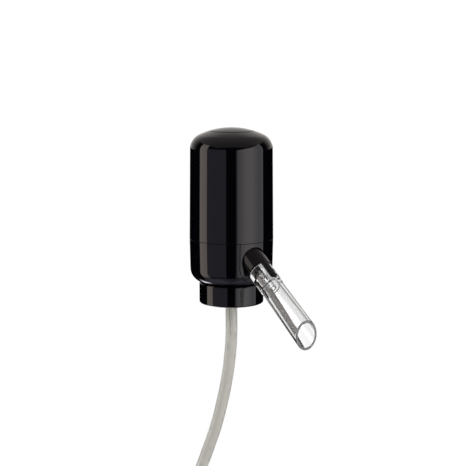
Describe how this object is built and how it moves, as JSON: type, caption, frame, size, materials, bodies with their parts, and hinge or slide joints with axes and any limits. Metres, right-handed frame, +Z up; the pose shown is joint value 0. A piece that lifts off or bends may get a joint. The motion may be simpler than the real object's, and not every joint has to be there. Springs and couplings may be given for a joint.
{
  "type": "electric wine dispenser",
  "caption": "Bottle-top electric wine dispenser: capsule body with a top push button, air pump, clear slanted spout, stopper and dip tube.",
  "frame": {"origin": "centre of the bottle's lip, on the underside of the stopper's flange, on the body's axis", "axes": "+Z up along the body's axis, the spout points along -Y and down, +X to the right seen from the spout"},
  "size_m": [0.0562, 0.1071, 0.3635],
  "materials": {
    "gloss_black": "polished black moulding",
    "button_black": "black moulding, slightly softer gloss",
    "core_black": "satin black moulding",
    "clear_spout": "clear polished plastic",
    "silicone": "translucent silicone",
    "dark_rubber": "matt rubber",
    "red_rubber": "matt silicone seal",
    "white_plastic": "natural white moulding",
    "cage_plastic": "textured dark moulding",
    "steel": "plated steel",
    "contact_metal": "nickel-plated strip",
    "cell_jacket": "printed foil jacket with no marks",
    "board": "lacquered laminate",
    "lead_red": "insulated wire"
  },
  "bodies": {
    "base": {"lower_housing": "gloss_black", "spout_panel": "gloss_black", "spout_boss": "gloss_black", "nozzle_core": "clear_spout", "nozzle_seal": "dark_rubber", "bottle_collar": "gloss_black", "collar_screws": "steel", "stopper_plug": "silicone", "dip_tube": "silicone", "bottle_fitting": "white_plastic", "fitting_gasket": "red_rubber", "riser_sleeve": "silicone", "air_hoses": "silicone", "air_check_valve": "white_plastic", "battery_cage": "cage_plastic", "deck_screws": "steel", "battery_cell_1": "cell_jacket", "battery_cell_2": "cell_jacket", "battery_cell_3": "cell_jacket", "battery_cell_4": "cell_jacket", "spring_plates": "contact_metal", "cell_springs": "steel", "cell_contacts": "contact_metal", "motor_can": "steel", "motor_end_cap": "white_plastic", "motor_leads": "lead_red", "motor_screws": "steel", "pump_body": "core_black", "diaphragm": "dark_rubber", "valve_plate": "white_plastic", "outlet_valve": "dark_rubber", "pump_cover": "core_black", "pump_screws": "steel", "circuit_board": "board", "board_parts": "core_black", "board_screws": "steel", "switch_body": "core_black"},
    "cover": {"upper_housing": "gloss_black", "button_spring": "steel"},
    "button": {"top_button": "button_black", "button_clip": "steel"},
    "plunger": {"switch_plunger": "lead_red"},
    "spout": {"clear_spout": "clear_spout"},
    "rotor": {"motor_shaft": "steel", "pump_cam": "white_plastic"},
    "drive": {"drive_plate": "white_plastic", "drive_pin": "steel"}
  },
  "joints": [
    {"name": "cover_lift", "type": "slide", "parent": "base", "child": "cover", "axis": [0, 0, 1], "range_m": [0, 0.075]},
    {"name": "button_press", "type": "slide", "parent": "cover", "child": "button", "axis": [0, 0, -1], "range_m": [0, 0.0008], "stiffness_N_per_m": 800, "deforming": ["button_spring"]},
    {"name": "switch_press", "type": "slide", "parent": "base", "child": "plunger", "axis": [0, 0, -1], "range_m": [0, 0.0008]},
    {"name": "spout_pull", "type": "slide", "parent": "base", "child": "spout", "axis": [0, -0.8387, -0.5446], "range_m": [0, 0.025]},
    {"name": "motor_spin", "type": "hinge", "parent": "base", "child": "rotor", "pos_m": [0, 0, 0.06], "axis": [0, 0, 1], "continuous": true},
    {"name": "drive_rock", "type": "hinge", "parent": "base", "child": "drive", "pos_m": [0, 0, 0.0389], "axis": [1, 0, 0], "range_deg": [-4, 4], "stiffness_Nm_per_rad": 0.02, "deforming": ["diaphragm"]}
  ],
  "couplings": [
    {"joint": "switch_press", "follows": "button_press", "ratio": 1}
  ]
}
